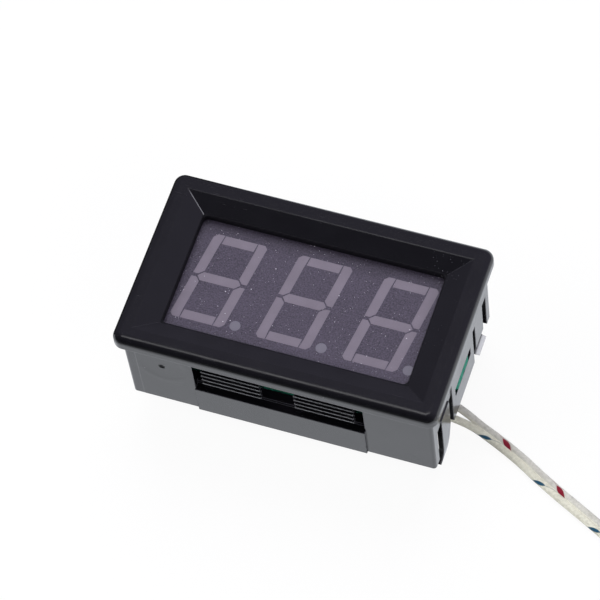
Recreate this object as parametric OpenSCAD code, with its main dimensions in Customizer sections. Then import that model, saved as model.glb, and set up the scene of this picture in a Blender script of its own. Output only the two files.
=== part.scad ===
// Digital panel meter: a snap-in moulded housing with a three-digit display,
// its circuit board, and a thermocouple lead with a probe.
// It lies on its back: +Z is the way the display faces, +X runs along the digits.

/* [Bezel] */
// Length of the bezel, along the digits
bezel_l = 47.5; // [46.8:0.1:56]
// Height of the bezel, across the digits
bezel_w = 28.5; // [27.6:0.1:36]
// Thickness of the bezel's flange
flange_t = 2.3; // [1.8:0.1:4]
// Radius of the bezel's corners seen from the front
bezel_corner_r = 1.6; // [1.4:0.1:2.5]
// Radius of the rounded front edge
bezel_edge_r = 1.25; // [0.5:0.05:1.35]
// Width of the rim around the sloped frame
rim_w = 2.5; // [1.5:0.1:2.8]
// Length of the slope at the window's short sides, seen from the front
slope_l = 3.25; // [2.5:0.05:4]
// Length of the slope at the window's long sides, seen from the front
slope_w = 2.75; // [2:0.05:3.5]
// Depth of the sloped frame around the window
slope_depth = 1.5; // [0.6:0.1:1.6]
// Thickness of the lip at the window's edge
lip_t = 1.0; // [0.6:0.1:1.6]

/* [Window] */
// Radius of the window's corners
window_corner_r = 0.8; // [0.4:0.1:2]

/* [Body] */
// How far the bezel stands out past the body at each end
overhang_l = 1.05; // [0.8:0.05:3]
// How far the bezel stands out past the body at the top and bottom
overhang_w = 1.3; // [0.8:0.05:3]
// Depth of the body behind the flange
body_depth = 14.8; // [14:0.1:20]
// Wall thickness of the body
wall = 1.2; // [0.9:0.05:1.4]
// Radius of the body's corners
body_corner_r = 0.5; // [0.3:0.1:2.5]
// Radius of the corners inside the body
inner_corner_r = 0.4; // [0.2:0.1:1.2]
// How far the proud panels stand out of the long walls
long_panel_proud = 0.35; // [0.1:0.05:0.6]
// How far the snap plates stand out of the end walls
end_plate_proud = 0.15; // [0.1:0.05:0.4]

/* [Grip windows] */
// Length of the window in each long wall
grip_window_l = 25.2; // [22:0.1:28]
// Depth of the grip window's rear edge behind the bezel's face
grip_window_rear = 11.1; // [10.2:0.1:12]
// Width of each ribbed tongue
tongue_w = 8.7; // [6:0.1:9.6]
// Distance from the middle of the wall to the middle of a tongue
tongue_x = 6.85; // [5.5:0.05:7.4]
// Depth of the tongue's free end behind the bezel's face
tongue_rear = 9.6; // [8.4:0.1:10]
// Number of teeth on a tongue
tongue_teeth = 6; // [2:1:6]
// Distance from tooth to tooth
tooth_pitch = 1.1; // [0.9:0.05:1.15]
// Depth of a tooth
tooth_depth = 0.55; // [0.3:0.05:0.6]
// How far the teeth stand out past the wall
tooth_proud = 0.25; // [0.1:0.05:0.5]

/* [Ends] */
// Width of a corner post
post_w = 1.65; // [1.4:0.05:2.2]
// Width of the slot between a corner post and a leg
outer_slot_w = 1.65; // [0.8:0.05:1.8]
// Width of a leg
leg_w = 3.35; // [2.6:0.05:4]
// Width of the slot between a leg and the snap plate
inner_slot_w = 1.45; // [0.8:0.05:1.6]
// Depth of the slots' front ends behind the bezel's face
slot_front = 9.1; // [8:0.1:9.4]
// How far the legs reach behind the body's rear rim
leg_reach = 4.5; // [3.5:0.1:7]
// Thickness of a leg
leg_t = 0.8; // [0.6:0.05:1.1]
// How far a leg leans in at its hook
leg_lean = 0.4; // [0.2:0.05:0.6]
// How far a hook stands out of its leg
hook_proud = 0.75; // [0.4:0.05:1]
// How far a spring leg curves in at its toe
toe_in = 0.55; // [0.3:0.05:0.8]
// Width of a leg's toe
toe_w = 1.35; // [1:0.05:2]
// How far a spring leg's toe spreads towards the corner post
toe_flare = 0.6; // [0:0.05:1]

/* [Display] */
// How far the display reaches past the window at each end
display_lap_l = 0.8; // [0.6:0.05:1.2]
// How far the display reaches past the window at the top and bottom
display_lap_w = 0.5; // [0.3:0.05:0.6]
// Depth of the display
display_t = 8; // [6:0.1:8]
// Number of digits
digits = 3; // [1:1:3]
// Height of a digit
digit_h = 14.2; // [12:0.1:14.6]
// Width of a digit
digit_w = 8; // [7:0.1:8.2]
// Width of a segment
segment_w = 1.42; // [1:0.02:1.6]
// Slant of the digits in degrees
digit_slant = 8; // [0:0.5:10]
// Radius of a decimal point
point_r = 0.78; // [0.5:0.02:0.8]

/* [Circuit board] */
// Clearance between the board and the long walls
board_side_gap = 1.25; // [0.6:0.05:1.4]
// Thickness of the board
board_t = 1.6; // [1:0.1:1.6]
// From an edge of the snap plate to the board's tab
tab_margin = 2.3; // [2:0.05:3]
// Clearance between the board and the end walls
board_end_gap = 0.2; // [0.1:0.05:0.4]
// Clearance around a tab in its slot
tab_gap = 0.15; // [0.1:0.05:0.4]
// Length of a chip resistor or chip capacitor
chip_part_l = 1.6; // [1:0.1:2]
// Width of a chip resistor or chip capacitor
chip_part_w = 0.8; // [0.5:0.05:1.2]
// From the end of the board's space to its last chip parts
chip_part_margin = 3.9; // [3:0.1:5]

/* [Power socket] */
// Length of the power socket's shell
socket_l = 5.9; // [5.6:0.1:7]
// Width of the power socket's shell
socket_w = 4.5; // [4.3:0.1:5]
// Height of the power socket's shell
socket_h = 6; // [4.5:0.1:6.4]
// Thickness of the socket's floor
socket_floor = 1.8; // [1:0.1:2.4]
// Distance between the socket's two pins
socket_pitch = 2; // [1.8:0.1:2.54]

/* [Lead] */
// Diameter of one core of the lead
core_d = 1.1; // [0.9:0.05:1.2]
// Radius of the coil at the middle of its turns
coil_r = 13; // [12:0.1:14]
// Length of the probe's sheath
sheath_l = 30; // [20:1:50]
// Diameter of the probe's sheath
sheath_d = 4.5; // [4:0.1:5]

/* [Hidden] */
$fn = 32;

eps = 0.5;                                   // overshoot of a cut
fit = 0.02;                                  // bonded or pressed faces, kept just apart

// Heights, from the surface that the legs stand on
rim_z = leg_reach;
seat_z = rim_z + body_depth;                 // rear face of the flange
face_z = seat_z + flange_t;                  // front face of the bezel
plate_back_z = face_z - slope_depth - lip_t; // where the display rests
display_back_z = plate_back_z - display_t;
board_back_z = display_back_z - board_t;
slot_top_z = face_z - slot_front;

body_l = bezel_l - 2 * overhang_l;
body_w = bezel_w - 2 * overhang_w;
inner_l = body_l - 2 * wall;
inner_w = body_w - 2 * wall;
rim_l_in = bezel_l - 2 * rim_w;
rim_w_in = bezel_w - 2 * rim_w;
window_l = rim_l_in - 2 * slope_l;
window_w = rim_w_in - 2 * slope_w;
display_l = window_l + 2 * display_lap_l;
display_w = window_w + 2 * display_lap_w;
digit_pitch = (display_l + segment_w - 0.92) / 3;

// Edges of what stands side by side at each end, from the middle of the wall
post_in_y = body_w / 2 - post_w;
leg_out_y = post_in_y - outer_slot_w;
leg_in_y = leg_out_y - leg_w;
plate_half_w = leg_in_y - inner_slot_w;
tab_w = 2 * (plate_half_w - tab_margin);

// ---------- shared shapes ----------

module rounded_rect(l, w, r) {
    square([l - 2 * r, w], center = true);
    square([l, w - 2 * r], center = true);
    for (x = [-1, 1], y = [-1, 1])
        translate([x * (l / 2 - r), y * (w / 2 - r)]) circle(r);
}

module slab(l, w, r, z0, z1) {
    translate([0, 0, z0]) linear_extrude(z1 - z0) rounded_rect(l, w, r);
}

// A profile drawn in X and Z, given its width along Y
module along_y(y0, y1) {
    translate([0, y1, 0]) rotate([90, 0, 0]) linear_extrude(y1 - y0) children();
}

// A profile drawn in Y and Z, given its length along X
module along_x(x0, x1) {
    translate([x0, 0, 0]) rotate([90, 0, 90]) linear_extrude(x1 - x0) children();
}

module both_sides() {
    children();
    mirror([0, 1, 0]) children();
}

module both_ends() {
    children();
    rotate(180) children();
}

// ---------- housing ----------

// A quarter round along one edge of the bezel's face, then its corner
module edge_bar(len, from_middle) {
    translate([0, from_middle - bezel_edge_r, face_z - bezel_edge_r])
        rotate([90, 0, 90]) linear_extrude(len, center = true) circle(bezel_edge_r, $fn = 64);
}

module corner_button() {
    flat_r = bezel_corner_r - bezel_edge_r;
    rotate_extrude($fn = 64) {
        translate([0, seat_z]) square([flat_r, flange_t]);
        translate([0, seat_z]) square([bezel_corner_r, flange_t - bezel_edge_r]);
        intersection() {
            translate([flat_r, face_z - bezel_edge_r]) circle(bezel_edge_r, $fn = 64);
            translate([0, seat_z]) square([bezel_corner_r, flange_t]);
        }
    }
}

module flange() {
    straight_l = bezel_l - 2 * bezel_corner_r;
    straight_w = bezel_w - 2 * bezel_corner_r;
    slab(bezel_l, bezel_w, bezel_corner_r, seat_z, face_z - bezel_edge_r);
    translate([0, 0, seat_z]) linear_extrude(flange_t) {
        square([straight_l, bezel_w - 2 * bezel_edge_r], center = true);
        square([bezel_l - 2 * bezel_edge_r, straight_w], center = true);
    }
    both_sides() edge_bar(straight_l, bezel_w / 2);
    both_ends() rotate(90) edge_bar(straight_w, bezel_l / 2);
    for (x = [-1, 1], y = [-1, 1])
        translate([x * straight_l / 2, y * straight_w / 2, 0]) corner_button();
}

// One side view of the sloped frame: wide at the face, narrow at the window
module slope_profile(wide, narrow) {
    rise = eps;
    flare = (wide - narrow) / slope_depth * rise;
    polygon([
        [-narrow / 2, face_z - slope_depth],
        [narrow / 2, face_z - slope_depth],
        [wide / 2 + flare / 2, face_z + rise],
        [-wide / 2 - flare / 2, face_z + rise]
    ]);
}

module sloped_frame() {
    intersection() {
        along_y(-bezel_w, bezel_w) slope_profile(rim_l_in, window_l);
        along_x(-bezel_l, bezel_l) slope_profile(rim_w_in, window_w);
    }
}

// A spring tongue, toothed like a saw, that grips the edge of the panel's cut-out
module grip_tongue() {
    free_z = face_z - tongue_rear;
    root_z = seat_z - wall / 2;
    corner = 0.8;
    tip_y = body_w / 2 + tooth_proud;
    outer_y = tip_y - tooth_depth;
    land = 0.12;
    module front() {
        translate([-tongue_w / 2, free_z + corner]) square([tongue_w, root_z - free_z]);
        translate([-tongue_w / 2 + corner, free_z]) square([tongue_w - 2 * corner, 2 * corner]);
        for (s = [-1, 1])
            translate([s * (tongue_w / 2 - corner), free_z + corner]) circle(corner);
    }
    along_y(inner_w / 2, outer_y) front();
    intersection() {
        along_y(outer_y - eps, tip_y + eps) front();
        along_x(-tongue_w / 2, tongue_w / 2)
            for (i = [0 : tongue_teeth - 1]) translate([0, free_z + i * tooth_pitch])
                polygon([
                    [outer_y - 0.1, 0],
                    [outer_y, 0],
                    [tip_y, tooth_pitch - land - 0.2],
                    [tip_y, tooth_pitch - 0.2],
                    [outer_y - 0.1, tooth_pitch - 0.2]
                ]);
    }
}

// A hook leg's profile in X and Z: it leans in, then ramps out to the hook's ridge
module hook_profile() {
    outer = body_l / 2;
    ramp_z = 0.94 * leg_reach;
    ridge_x = outer - leg_lean + hook_proud;
    ridge_z = ramp_z - 0.65 * hook_proud;
    polygon([
        [outer, slot_top_z + eps],
        [outer, rim_z + 1.5],
        [outer - leg_lean, ramp_z],
        [ridge_x, ridge_z],
        [ridge_x - 0.04, ridge_z - 0.15],
        [outer - leg_lean, ridge_z - 0.8],
        [outer - leg_lean, 0],
        [outer - leg_lean - 0.8 * leg_t, 0],
        [outer - leg_lean - leg_t, ramp_z],
        [outer - leg_t, rim_z + 1.5],
        [outer - leg_t, slot_top_z + eps]
    ]);
}

// A spring leg's profile: flush with the snap plate, then an arc that curves in to the toe
module spring_profile() {
    outer = body_l / 2 + end_plate_proud;
    bend_z = leg_reach;
    bend_r = (bend_z * bend_z + toe_in * toe_in) / (2 * toe_in);
    translate([outer - leg_t, bend_z]) square([leg_t, slot_top_z + eps - bend_z]);
    intersection() {
        translate([outer - bend_r, bend_z]) difference() {
            circle(bend_r, $fn = 180);
            circle(bend_r - leg_t, $fn = 180);
        }
        translate([outer - 3 * leg_t, 0]) square([4 * leg_t, bend_z + 0.01]);
    }
}

// A leg's front view: full width beside the wall, tapered to its toe, a spring leg from higher up
module leg_front(hooked) {
    toe_r = 0.5;
    toe_out_y = leg_out_y + (hooked ? 0 : toe_flare);
    taper_z = (hooked ? 0.9 : 1.45) * leg_reach;
    polygon([
        [leg_in_y, slot_top_z + eps],
        [leg_in_y, taper_z],
        [leg_out_y - toe_w, toe_r],
        [leg_out_y - toe_w + toe_r, 0],
        [toe_out_y - toe_r, 0],
        [toe_out_y, toe_r],
        [leg_out_y, rim_z],
        [leg_out_y, slot_top_z + eps]
    ]);
}

module leg(hooked) {
    intersection() {
        along_y(leg_in_y - eps, post_in_y) {
            if (hooked) hook_profile();
            else spring_profile();
        }
        along_x(inner_l / 2 - 3, bezel_l / 2) leg_front(hooked);
    }
}

module snap_plate() {
    translate([inner_l / 2 + wall / 2, -plate_half_w, rim_z])
        cube([wall / 2 + end_plate_proud, 2 * plate_half_w, seat_z - rim_z]);
}

module end_cuts() {
    x0 = inner_l / 2 - eps;
    depth = wall + 2 * eps;
    // everything between the snap plate and the corner posts, where the legs then stand
    for (s = [-1, 1])
        translate([x0, s > 0 ? plate_half_w : -post_in_y, rim_z - eps])
            cube([depth, post_in_y - plate_half_w, slot_top_z - rim_z + eps]);
    // slot for the board's tab
    translate([x0, -tab_w / 2 - 1, board_back_z - tab_gap])
        cube([depth, tab_w + 2, board_t + 2 * tab_gap]);
}

module grip_window() {
    translate([-grip_window_l / 2, inner_w / 2 - eps, face_z - grip_window_rear])
        cube([grip_window_l, wall + 2 * eps, grip_window_rear - flange_t - wall / 2]);
}

module long_panel() {
    translate([-grip_window_l / 2, inner_w / 2 + wall / 2, rim_z])
        cube([grip_window_l, wall / 2 + long_panel_proud, face_z - grip_window_rear - rim_z]);
}

// Ledge behind the board along the grip windows, and a stop rib past each window's ends
module board_ledge() {
    depth = board_side_gap + 0.3;
    lip = board_side_gap - 0.15;
    rib = 1.2;
    ledge_l = grip_window_l + 2 * rib + 1.6;
    rib_depth = (inner_w - display_w) / 2 - 0.2;
    translate([-ledge_l / 2, inner_w / 2 - depth, board_back_z - 1.3])
        cube([ledge_l, depth + 0.3, 1.2]);
    translate([-ledge_l / 2, inner_w / 2 - lip, board_back_z - 0.6])
        cube([ledge_l, lip + 0.3, board_t + 0.5]);
    both_ends() translate([grip_window_l / 2 + 0.1, inner_w / 2 - rib_depth, display_back_z + 0.15])
        cube([rib, rib_depth + 0.3, display_t - 1.15]);
}

// Ribs that keep the display in line with the window
module locating_ribs() {
    for (x = [-1, 1])
        translate([x * (display_l / 2 - 3) - 0.5, display_w / 2 + 0.15, plate_back_z - 3.2])
            cube([1, inner_w / 2 - display_w / 2 - 0.15 + 0.3, 3.4]);
}

module housing() {
    color("#212126") difference() {
        union() {
            difference() {
                union() {
                    flange();
                    slab(body_l, body_w, body_corner_r, rim_z, seat_z + eps);
                    both_sides() long_panel();
                    both_ends() snap_plate();
                }
                slab(inner_l, inner_w, inner_corner_r, rim_z - eps, plate_back_z);
                both_sides() grip_window();
                both_ends() end_cuts();
            }
            both_sides() {
                for (x = [-1, 1]) translate([x * tongue_x, 0, 0]) grip_tongue();
                locating_ribs();
                board_ledge();
            }
            both_ends() {
                leg(true);
                mirror([0, 1, 0]) leg(false);
            }
        }
        sloped_frame();
        slab(window_l, window_w, window_corner_r, plate_back_z - eps, face_z);
    }
}

// ---------- display ----------

// Moves a flat shape to each digit's middle
module each_digit() {
    for (i = [0 : digits - 1])
        translate([(i - (digits - 1) / 2) * digit_pitch, 0]) children();
}

// Leans a flat shape over as the digits lean
module slanted() {
    multmatrix([
        [1, tan(digit_slant), 0, 0],
        [0, 1, 0, 0],
        [0, 0, 1, 0],
        [0, 0, 0, 1]
    ]) children();
}

segment_gap = 0.3;
half_w = digit_w / 2;
half_h = digit_h / 2;
bar_l = digit_w - 2 * segment_w - 2 * segment_gap + 0.2;   // top and bottom bars

// Top right upright; the other three are its mirror images, leaned the same way
module upright() {
    mid = segment_gap * 0.9;
    polygon([
        [half_w, mid],
        [half_w - 0.75, mid],
        [half_w - segment_w, mid + 0.65],
        [half_w - segment_w, half_h - segment_w],
        [half_w - segment_w - 0.08, half_h],
        [half_w - 0.5, half_h],
        [half_w, half_h - 0.5]
    ]);
}

module segments_flat(grow = 0) {
    slanted() {
        for (x = [-1, 1], y = [-1, 1])
            scale([x, y]) upright();
        for (y = [-1, 1])
            translate([0, y * (half_h - segment_w / 2)])
                square([bar_l, segment_w - 0.04], center = true);
        polygon([
            [-half_w + 0.8, 0], [-half_w + 1.45, segment_w / 2],
            [half_w - 1.45, segment_w / 2], [half_w - 0.8, 0],
            [half_w - 1.45, -segment_w / 2], [-half_w + 1.45, -segment_w / 2]
        ]);
    }
    translate([half_w + 0.57, -half_h + point_r + 0.04]) circle(point_r);
}

display_wall = 0.8;
substrate_t = 1.2;
backing_t = 1.2;                              // potting between the cavities and the substrate
cavity_back_z = display_back_z + substrate_t + backing_t;

module display_shell() {
    color("#4b4653") difference() {
        slab(display_l, display_w, 0.3, display_back_z, plate_back_z);
        translate([0, 0, display_back_z - eps])
            linear_extrude(substrate_t + backing_t + eps)
                square([display_l - 2 * display_wall, display_w - 2 * display_wall], center = true);
        translate([0, 0, cavity_back_z - eps])
            linear_extrude(plate_back_z - cavity_back_z + 2 * eps) each_digit() segments_flat();
    }
}

module display_potting() {
    color("#8f8799") {
        translate([0, 0, display_back_z + substrate_t])
            linear_extrude(backing_t)
                square([display_l - 2 * display_wall - fit, display_w - 2 * display_wall - fit],
                       center = true);
        translate([0, 0, cavity_back_z - 0.1])
            linear_extrude(plate_back_z - cavity_back_z + 0.1 - fit) each_digit() segments_flat();
    }
}

module display_substrate() {
    color("#d8d2bd") difference() {
        translate([0, 0, display_back_z])
            linear_extrude(substrate_t - fit)
                square([display_l - 2 * display_wall - 0.1, display_w - 2 * display_wall - 0.1],
                       center = true);
        pin_places() translate([0, 0, display_back_z - eps]) cylinder(r = pin_r + fit, h = substrate_t + 1);
    }
}

pin_r = 0.25;
pin_row_y = display_w / 2 - 1.88;
pin_pitch = 2.54;
pins_per_row = 6;

module pin_places() {
    for (i = [0 : pins_per_row - 1], y = [-1, 1])
        translate([(i - (pins_per_row - 1) / 2) * pin_pitch, y * pin_row_y, 0]) children();
}

module display_pins() {
    color("#c9c9c4") pin_places()
        translate([0, 0, board_back_z - 1.4])
            cylinder(r = pin_r, h = display_back_z + substrate_t - 0.1 - board_back_z + 1.4, $fn = 16);
}

// ---------- circuit board and what is soldered to it ----------

lead_pad_x = 13;
lead_pad_y = [-2.8, -5.2];
conductor_r = 0.25;
socket_x = 4.5 - inner_l / 2;

module lead_places() {
    for (y = lead_pad_y) translate([lead_pad_x, y, 0]) children();
}

module socket_places() {
    for (s = [-1, 1]) translate([socket_x, s * socket_pitch / 2, 0]) children();
}

board_w = inner_w - 2 * board_side_gap;

module main_board() {
    board_l = inner_l - 2 * board_end_gap;
    tab_l = body_l + 2 * end_plate_proud;
    color("#1e7a50") difference() {
        union() {
            slab(board_l, board_w, 0.5, board_back_z, display_back_z - fit);
            slab(tab_l, tab_w, 0.3, board_back_z, display_back_z - fit);
        }
        for (i = [0, 1, 2]) translate([0, 0, board_back_z - eps]) {
            if (i == 0) pin_places() cylinder(r = 0.45, h = board_t + 1, $fn = 16);
            if (i == 1) lead_places() cylinder(r = 0.45, h = board_t + 1, $fn = 16);
            if (i == 2) socket_places() cylinder(r = 0.45, h = board_t + 1, $fn = 16);
        }
    }
}

// A cone of solder round a pin that comes through the back of the board
module solder_cone(hole_r, foot_r, h) {
    translate([0, 0, board_back_z - h]) difference() {
        cylinder(r1 = hole_r + 0.12, r2 = foot_r, h = h, $fn = 20);
        translate([0, 0, -eps]) cylinder(r = hole_r, h = h + 2 * eps, $fn = 16);
    }
}

joint_r = 0.85;                               // foot of the solder on a pin

module pin_joints() {
    color("#b9bcc0") pin_places() solder_cone(pin_r + fit, joint_r, 0.9);
}

module lead_joints() {
    color("#b9bcc0") lead_places() solder_cone(conductor_r + fit, 1.0, 0.7);
}

// A moulded chip with its leads on the two sides that face along X
module chip_body(l, w, h) {
    translate([0, 0, board_back_z - h - 0.1]) {
        translate([0, 0, h / 2]) linear_extrude(h / 2) square([l, w], center = true);
        linear_extrude(h / 2) square([l - 0.3, w - 0.3], center = true);
    }
}

// Gull-wing leads: out of the body's side, down to the board, and a foot on the pad
module chip_leads(count, pitch, w, h, lead_w, out) {
    thick = 0.15;
    for (i = [0 : count - 1], s = [0, 180])
        rotate(s) translate([(i - (count - 1) / 2) * pitch - lead_w / 2, 0, 0])
            along_x(0, lead_w) polygon([
                [w / 2 + fit, board_back_z - h / 2 - thick],
                [w / 2 + out / 2 - thick, board_back_z - h / 2 - thick],
                [w / 2 + out / 2 - thick / 2, board_back_z - thick - fit],
                [w / 2 + out, board_back_z - thick - fit],
                [w / 2 + out, board_back_z - fit],
                [w / 2 + out / 2 - 1.4 * thick, board_back_z - fit],
                [w / 2 + out / 2 - 2 * thick, board_back_z - h / 2],
                [w / 2 + fit, board_back_z - h / 2]
            ]);
}

controller_w = 4.4;
controller_out = 1;                           // how far its leads reach past its body
controller_y = 0.3;
module at_controller() { translate([-2.5, controller_y, 0]) children(); }
module at_amplifier() { translate([6.8, 0.4, 0]) children(); }
regulator_x = socket_x + 5.5;
capacitor_x = socket_x + 4.8;
module at_regulator() { translate([regulator_x, 5.6, 0]) children(); }
module at_diode() { translate([socket_x + 5.8, 0.6, 0]) children(); }
module at_capacitor() { translate([capacitor_x, -5.2, 0]) children(); }

module controller_chip() { color("#26262a") at_controller() chip_body(6.5, controller_w, 0.95); }
module controller_leads() {
    color("#c9c9c4") at_controller() chip_leads(10, 0.65, controller_w, 0.95, 0.25, controller_out);
}

module amplifier_chip() { color("#26262a") at_amplifier() chip_body(4.9, 3.9, 1.4); }
module amplifier_leads() { color("#c9c9c4") at_amplifier() chip_leads(4, 1.27, 3.9, 1.4, 0.42, 1.05); }

module regulator() { color("#26262a") at_regulator() chip_body(4.5, 2.5, 1.4); }

module regulator_leads() {
    color("#c9c9c4") at_regulator() {
        for (x = [-1.5, 0, 1.5])
            translate([x - 0.22, -1.25 - fit - 0.9, board_back_z - 0.4 - fit]) cube([0.44, 0.9, 0.4]);
        translate([-0.85, 1.25 + fit, board_back_z - 0.4 - fit]) cube([1.7, 0.6, 0.4]);
    }
}

module input_diode() { color("#2b2b2e") at_diode() chip_body(4.2, 2.6, 1.9); }

module diode_terminals() {
    color("#c9c9c4") at_diode() for (s = [0, 180]) rotate(s)
        along_y(-0.7, 0.7) polygon([
            [2.1 + fit, board_back_z - 1.05],
            [2.5, board_back_z - 1.05],
            [2.5, board_back_z - fit],
            [1.0, board_back_z - fit],
            [1.0, board_back_z - 0.08],
            [2.1 + fit, board_back_z - 0.08]
        ]);
}

module capacitor_base() {
    color("#222226") at_capacitor() translate([0, 0, board_back_z - 0.9 - fit])
        difference() {
            linear_extrude(0.9) rounded_rect(4.3, 4.3, 0.5);
            translate([0, 0, -eps]) cylinder(r = 1.7, h = 0.4 + eps);
        }
}

module capacitor_can() {
    color("#b8bbc0") at_capacitor() translate([0, 0, board_back_z - 0.9 - 4.1])
        rotate_extrude($fn = 48) polygon([
            [0, 0], [1.75, 0], [2, 0.25], [2, 3.2], [1.85, 3.35], [1.85, 3.55],
            [2, 3.7], [2, 4.1 - 2 * fit], [1.6, 4.1 - 2 * fit], [1.6, 4.4], [0, 4.4]
        ]);
}

// Places of the small chip parts, each with the way it is turned. The two rows run halfway
// between the controller's leads and the joints of the display's pins.
free_y = pin_row_y - joint_r;
lead_reach = controller_w / 2 + controller_out;
front_row = -(free_y + lead_reach - controller_y) / 2;
back_row = (free_y + lead_reach + controller_y) / 2;
edge_x = inner_l / 2 - chip_part_margin;      // the parts nearest the end walls
step = (edge_x - regulator_x) / 12;
resistor_places = concat(
    [for (i = [0 : 6]) [capacitor_x + (1.5 + i) * step, front_row, 90]],
    [for (i = [0 : 3]) [regulator_x + (4.95 + i) * step, back_row, 90]],
    [for (y = [-0.25, 0.4]) [edge_x - 2.1 * step, back_row + y * step, 0]],
    [for (y = [front_row - chip_part_w, back_row + 0.5 * chip_part_w]) [edge_x, y, 90]]
);
capacitor_places = concat(
    [for (i = [0 : 2]) [regulator_x + (1.7 + i) * step, back_row, 90]],
    [for (x = [2.3, 1.2, 0]) [edge_x - x * step, 1.75 * chip_part_w, 90]],
    [for (y = [front_row - 0.7 * step, back_row + 0.6 * step]) [socket_x + 0.25 * chip_part_l, y, 0]]
);

module chip_parts(places, l, w, h) {
    for (p = places) translate([p[0], p[1], board_back_z - h - fit]) rotate(p[2])
        linear_extrude(h) square([l, w], center = true);
}

module chip_resistors() {
    color("#1b1b1d") chip_parts(resistor_places, chip_part_l, chip_part_w, 0.55 * chip_part_w);
}

module chip_capacitors() {
    color("#b39a72") chip_parts(capacitor_places, chip_part_l, chip_part_w, chip_part_w);
}

// Open-topped socket whose mouth faces away from the board
module power_socket() {
    skin = 0.6;
    color("#e6e2d3") translate([socket_x, 0, board_back_z - socket_h]) difference() {
        translate([-socket_w / 2, -socket_l / 2, 0]) cube([socket_w, socket_l, socket_h - fit]);
        translate([-socket_w / 2 + skin, -socket_l / 2 + skin, -eps])
            cube([socket_w - 2 * skin, socket_l - 2 * skin, socket_h - socket_floor + eps]);
        for (s = [-1, 1])
            translate([socket_w / 2 - skin - eps, s * 1.3 - 0.35, -eps])
                cube([skin + 2 * eps, 0.7, socket_h / 2]);
        for (s = [-1, 1]) translate([0, s * socket_pitch / 2, 0])
            cylinder(r = pin_r + fit, h = socket_h + eps, $fn = 16);
    }
}

module power_pins() {
    color("#cdb35a") socket_places()
        translate([0, 0, board_back_z - socket_h + 1.2])
            cylinder(r = pin_r, h = socket_h - 1.2 + board_t - 0.1, $fn = 16);
}

// ---------- lead and probe ----------

lead_w = 2 * core_d;                          // the two cores side by side
floor_gap = 0.45;                             // the tie's band lies under the coil
coil_x = 65.8;
coil_y = -7.8;
coil_half = 1.5 * lead_w + 0.1;               // three turns side by side
coil_z0 = floor_gap;
coil_z1 = floor_gap + 2 * core_d + 0.15;

// Middle of the lead from the board to the coil, and from the coil to the probe
run_points = [
    [13, -4, 8.2], [13.6, -4, 7.2], [15.3, -3.8, 6], [18, -3.3, 4.6], [21, -2.9, 3.5],
    [24, -3.2, 2.5], [27, -3.95, 1.45], [30, -5, 0.8], [33, -6.4, 0.6], [36, -8.1, 0.6],
    [39, -9.7, 0.6], [42, -11.2, 0.6], [45, -12.7, 0.6], [48, -14.25, 0.6], [50.2, -15.45, 0.65]
];
tail_points = [
    [64.9, -25.5, 2.2], [67.4, -25.8, 1.75], [70.2, -25.7, 1.2], [73.1, -25, 0.8], [75.9, -23.8, 0.65],
    [78.6, -22.2, 0.65], [81.1, -20.2, 0.9], [83.3, -18, 1.45], [85.2, -15.6, 1.95], [86.5, -13.6, 2.2]
];

// Flat eight-sided outline of the two cores, across the way the lead runs
function lead_ring(p, dir) =
    let (
        flat = sqrt(dir[0] * dir[0] + dir[1] * dir[1]),
        side = flat > 0.01 ? [-dir[1] / flat, dir[0] / flat, 0] : [0, 1, 0],
        up = cross(dir, side),
        a = lead_w / 2,
        b = core_d / 2,
        k = 0.45
    )
    [for (q = [[1, k], [0.7, 1], [-0.7, 1], [-1, k], [-1, -k], [-0.7, -1], [0.7, -1], [1, -k]])
        p + side * (a * q[0]) + up * (b * q[1])];

function unit(v) = v / norm(v);
function way(points, i) =
    let (n = len(points) - 1)
    unit(points[min(i + 1, n)] - points[max(i - 1, 0)]);

module lead_tube(points) {
    n = len(points);
    rings = [for (i = [0 : n - 1]) each lead_ring(points[i], way(points, i))];
    sides = [for (i = [0 : n - 2], j = [0 : 7])
        [8 * i + j, 8 * i + (j + 1) % 8, 8 * (i + 1) + (j + 1) % 8, 8 * (i + 1) + j]];
    polyhedron(rings, concat([[for (j = [7 : -1 : 0]) j]], sides,
        [[for (j = [0 : 7]) 8 * (n - 1) + j]]), convexity = 6);
}

module lead_run() { color("#c9c8bd") lead_tube(run_points); }
module lead_tail() { color("#c9c8bd") lead_tube(tail_points); }

module lead_coil() {
    color("#c9c8bd") translate([coil_x, coil_y, 0]) rotate_extrude($fn = 64)
        translate([coil_r, (coil_z0 + coil_z1) / 2])
            rounded_rect(2 * coil_half, coil_z1 - coil_z0, 0.6);
}

module lead_conductors() {
    color("#b8a98c") lead_places()
        translate([0, 0, board_back_z - 0.95])
            cylinder(r = conductor_r, h = 0.95 + board_t, $fn = 16);
}

// A band round the coil, at the side away from the meter
module lead_tie() {
    band = 0.4;
    width = 3;
    color("#efefec") translate([coil_x, coil_y, 0]) rotate(25)
        translate([coil_r, -width / 2, 0]) difference() {
            translate([-coil_half - band - 0.2, 0, 0])
                cube([2 * coil_half + 2 * band + 0.25, width, coil_z1 + band + 0.05]);
            translate([-coil_half - 0.2, -eps, coil_z0 - 0.05])
                cube([2 * coil_half + 0.25, width + 2 * eps, coil_z1 - coil_z0 + 0.1]);
        }
}

// The probe lies on the surface, in line with the lead's end
module at_probe() {
    end = tail_points[len(tail_points) - 1];
    dir = end - tail_points[len(tail_points) - 2];
    translate([end[0], end[1], sheath_d / 2]) rotate([0, 0, atan2(dir[1], dir[0])])
        rotate([0, 90, 0]) children();
}

sleeve_l = 14;

module probe_sleeve() {
    color("#2a2a2d") at_probe() rotate_extrude($fn = 32) polygon([
        [0, 0.1], [1.45, 0.1], [1.7, 1], [2.05, 5], [2.05, sleeve_l - 0.3], [1.9, sleeve_l], [0, sleeve_l]
    ]);
}

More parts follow.
